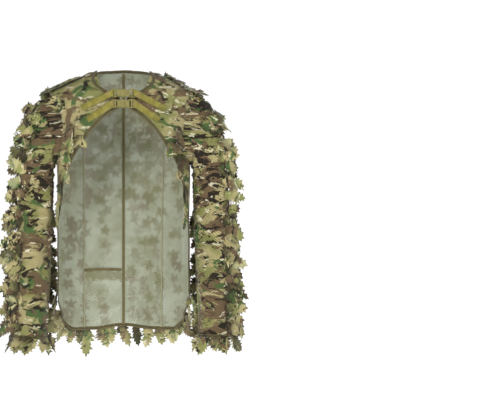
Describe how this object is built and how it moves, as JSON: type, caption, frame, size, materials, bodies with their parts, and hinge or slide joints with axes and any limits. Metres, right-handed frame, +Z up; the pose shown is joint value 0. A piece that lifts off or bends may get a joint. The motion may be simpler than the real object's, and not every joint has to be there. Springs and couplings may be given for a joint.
{
  "type": "leaf camouflage over-jacket",
  "caption": "Long-sleeved camouflage net over-jacket with an arched open front, buckled chest straps and rows of cut cloth leaves sewn on the outside",
  "frame": {"origin": "the middle of the neck opening, level with the top edge of the back neck, where the jacket is held up", "axes": "+Z is up along the back length; the front faces -Y; +X is the wearer's left"},
  "size_m": [0.7236, 0.2692, 0.8476],
  "materials": {
    "net": "camouflage printed open polyester net",
    "binding": "woven olive brown bias tape",
    "leaf": "printed cloth cut into leaf shapes with raw edges",
    "webbing": "woven olive webbing, stitched down",
    "plastic": "moulded olive acetal"
  },
  "bodies": {
    "jacket_body": {"back_panel_left": "net", "side_panel_left": "net", "front_panel_left": "net", "back_panel_right": "net", "side_panel_right": "net", "front_panel_right": "net", "neck_binding": "binding", "front_edge_binding_left": "binding", "front_edge_binding_right": "binding", "hem_binding": "binding", "centre_back_tape": "binding", "cross_seam_tape": "binding", "back_seam_tape_left": "binding", "back_seam_tape_right": "binding", "leaf_strip_back_centre": "leaf", "leaf_strip_back_left": "leaf", "leaf_strip_back_right": "leaf", "leaf_strip_back_far_left": "leaf", "leaf_strip_back_far_right": "leaf", "leaf_strip_front_left": "leaf", "leaf_strip_shoulder_left": "leaf", "leaf_strip_front_right": "leaf", "leaf_strip_shoulder_right": "leaf", "hem_leaf_fringe": "leaf", "upper_buckle_socket": "plastic", "upper_strap_left": "webbing", "upper_strap_right": "webbing", "lower_buckle_socket": "plastic", "lower_strap_left": "webbing", "lower_strap_right": "webbing"},
    "upper_sleeve_left": {"sleeve_upper_left": "net", "sleeve_tape_upper_left": "binding", "leaf_strip_sleeve_upper_left": "leaf"},
    "lower_sleeve_left": {"sleeve_lower_left": "net", "sleeve_tape_lower_left": "binding", "leaf_strip_sleeve_lower_left": "leaf", "cuff_binding_left": "binding", "cuff_leaf_fringe_left": "leaf"},
    "upper_sleeve_right": {"sleeve_upper_right": "net", "sleeve_tape_upper_right": "binding", "leaf_strip_sleeve_upper_right": "leaf"},
    "lower_sleeve_right": {"sleeve_lower_right": "net", "sleeve_tape_lower_right": "binding", "leaf_strip_sleeve_lower_right": "leaf", "cuff_binding_right": "binding", "cuff_leaf_fringe_right": "leaf"},
    "upper_plug": {"upper_buckle_plug": "plastic"},
    "upper_prong_top": {"upper_buckle_prong_top": "plastic"},
    "upper_prong_bottom": {"upper_buckle_prong_bottom": "plastic"},
    "lower_plug": {"lower_buckle_plug": "plastic"},
    "lower_prong_top": {"lower_buckle_prong_top": "plastic"},
    "lower_prong_bottom": {"lower_buckle_prong_bottom": "plastic"}
  },
  "joints": [
    {"name": "shoulder_swing_left", "type": "hinge", "parent": "jacket_body", "child": "upper_sleeve_left", "pos_m": [0.204, 0, -0.084], "axis": [0, -1, 0], "range_deg": [0, 35]},
    {"name": "elbow_fold_left", "type": "hinge", "parent": "upper_sleeve_left", "child": "lower_sleeve_left", "pos_m": [0.256, 0, -0.43], "axis": [-1, 0, 0], "range_deg": [0, 45]},
    {"name": "shoulder_swing_right", "type": "hinge", "parent": "jacket_body", "child": "upper_sleeve_right", "pos_m": [-0.204, 0, -0.084], "axis": [0, 1, 0], "range_deg": [0, 35]},
    {"name": "elbow_fold_right", "type": "hinge", "parent": "upper_sleeve_right", "child": "lower_sleeve_right", "pos_m": [-0.256, 0, -0.43], "axis": [-1, 0, 0], "range_deg": [0, 45]},
    {"name": "upper_buckle_slide", "type": "slide", "parent": "jacket_body", "child": "upper_plug", "axis": [1, 0, 0], "range_m": [0, 0.022], "deforming": ["upper_strap_left", "upper_buckle_prong_top", "upper_buckle_prong_bottom"]},
    {"name": "upper_prong_squeeze_top", "type": "hinge", "parent": "upper_plug", "child": "upper_prong_top", "pos_m": [0.003, -0.11318, -0.0685], "axis": [0, -1, 0], "range_deg": [0, 7.5], "stiffness_Nm_per_rad": 0.02},
    {"name": "upper_prong_squeeze_bottom", "type": "hinge", "parent": "upper_plug", "child": "upper_prong_bottom", "pos_m": [0.003, -0.11318, -0.0835], "axis": [0, 1, 0], "range_deg": [0, 7.5], "stiffness_Nm_per_rad": 0.02},
    {"name": "lower_buckle_slide", "type": "slide", "parent": "jacket_body", "child": "lower_plug", "axis": [1, 0, 0], "range_m": [0, 0.022], "deforming": ["lower_strap_left", "lower_buckle_prong_top", "lower_buckle_prong_bottom"]},
    {"name": "lower_prong_squeeze_top", "type": "hinge", "parent": "lower_plug", "child": "lower_prong_top", "pos_m": [0.003, -0.1187, -0.0985], "axis": [0, -1, 0], "range_deg": [0, 7.5], "stiffness_Nm_per_rad": 0.02},
    {"name": "lower_prong_squeeze_bottom", "type": "hinge", "parent": "lower_plug", "child": "lower_prong_bottom", "pos_m": [0.003, -0.1187, -0.1135], "axis": [0, 1, 0], "range_deg": [0, 7.5], "stiffness_Nm_per_rad": 0.02}
  ],
  "couplings": [
    {"joint": "upper_prong_squeeze_bottom", "follows": "upper_prong_squeeze_top", "ratio": 1},
    {"joint": "lower_prong_squeeze_bottom", "follows": "lower_prong_squeeze_top", "ratio": 1}
  ]
}
